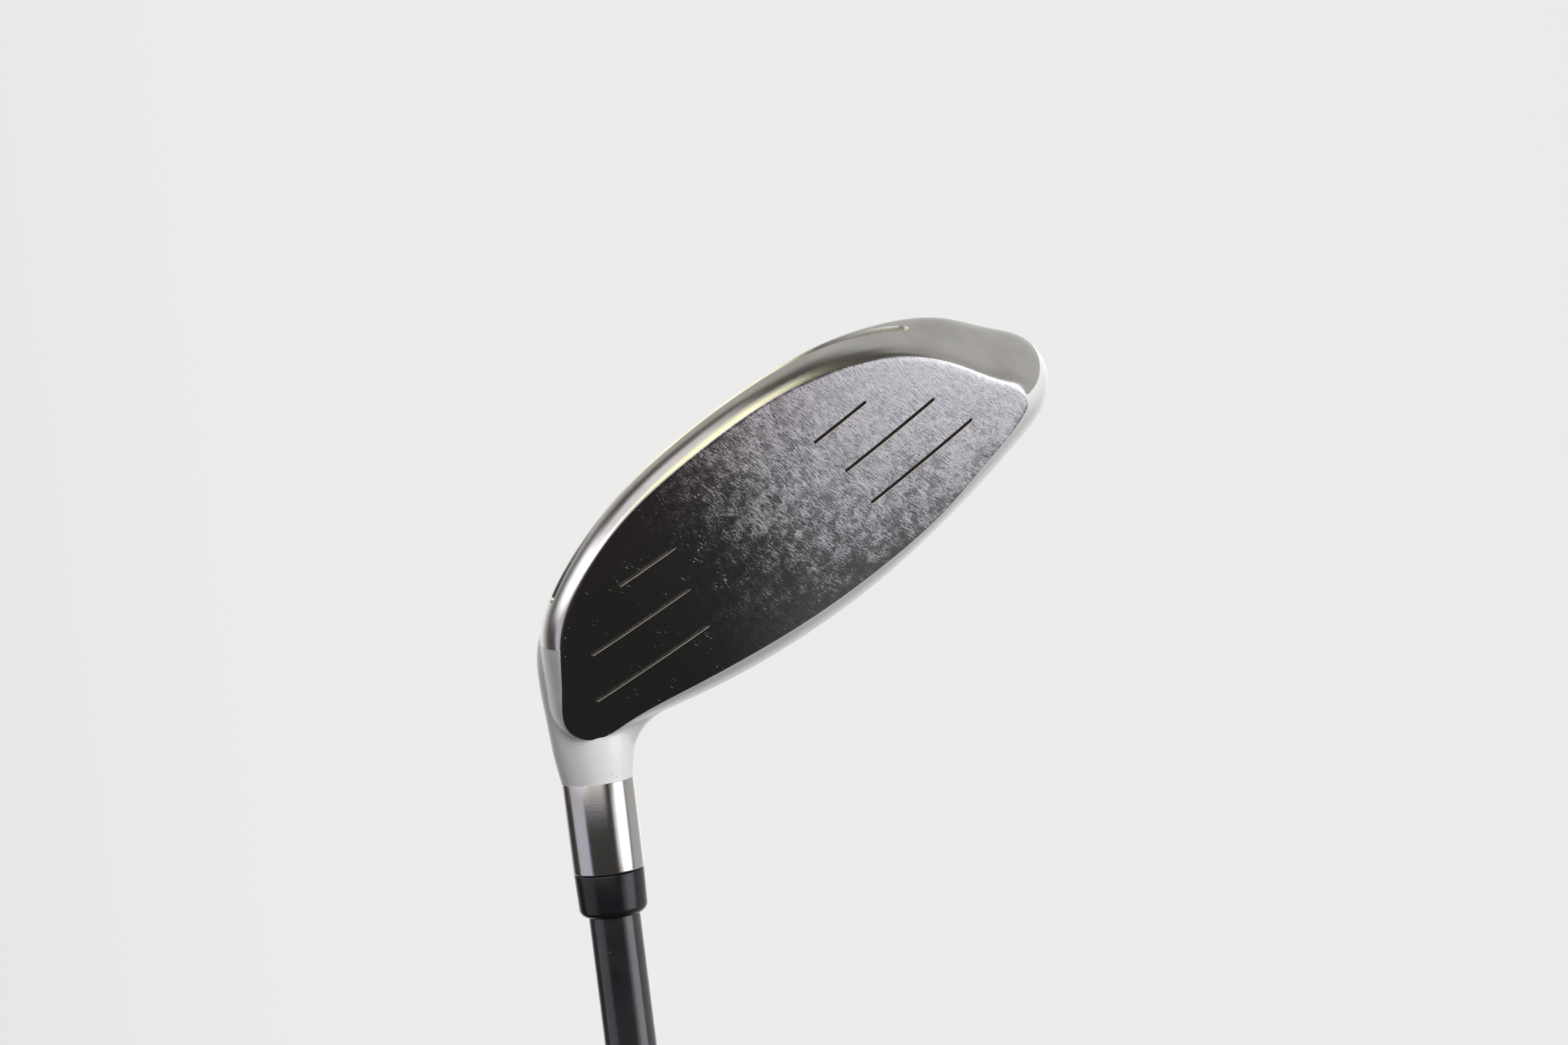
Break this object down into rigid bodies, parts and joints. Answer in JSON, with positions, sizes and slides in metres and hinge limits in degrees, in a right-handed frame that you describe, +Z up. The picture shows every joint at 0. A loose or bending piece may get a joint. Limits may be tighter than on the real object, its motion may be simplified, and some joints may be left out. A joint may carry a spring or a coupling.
{
  "type": "hybrid golf club",
  "caption": "Right-handed hybrid golf club: hollow steel head with painted crown and sole slot, fixed hosel, ferrule, tapered graphite shaft and rubber grip.",
  "frame": {"origin": "centre of the flat butt end of the grip cap, on the shaft axis", "axes": "+Z up the shaft axis from the grip to the head, +X towards the toe side, -Y the way the strike face looks"},
  "size_m": [0.1064, 0.058, 1.0552],
  "materials": {
    "satin_steel": "satin cast and ground stainless steel, fine brushing",
    "white_paint": "matte white paint over steel",
    "face_steel": "dark polished steel, scuffed across the hitting area",
    "slot_polymer": "matte olive-yellow polymer",
    "hot_melt": "tacky amber hot-melt glue",
    "graphite": "glossy black lacquer over carbon fibre composite",
    "brass": "plain turned brass",
    "cork": "pressed cork",
    "ferrule_black": "smooth black cellulose plastic",
    "tape": "double-sided masking tape",
    "grip_rubber": "matte black moulded rubber with a fine pattern",
    "cap_rubber": "matte black moulded rubber"
  },
  "bodies": {
    "root": {"head_body": "satin_steel", "crown_shell": "white_paint", "face_plate": "face_steel", "slot_liner": "slot_polymer", "glue_pad": "hot_melt", "shaft": "graphite", "tip_pin": "brass", "bore_plug": "cork", "ferrule": "ferrule_black", "grip_tape": "tape", "grip_sleeve": "grip_rubber", "grip_cap": "cap_rubber"}
  },
  "joints": []
}
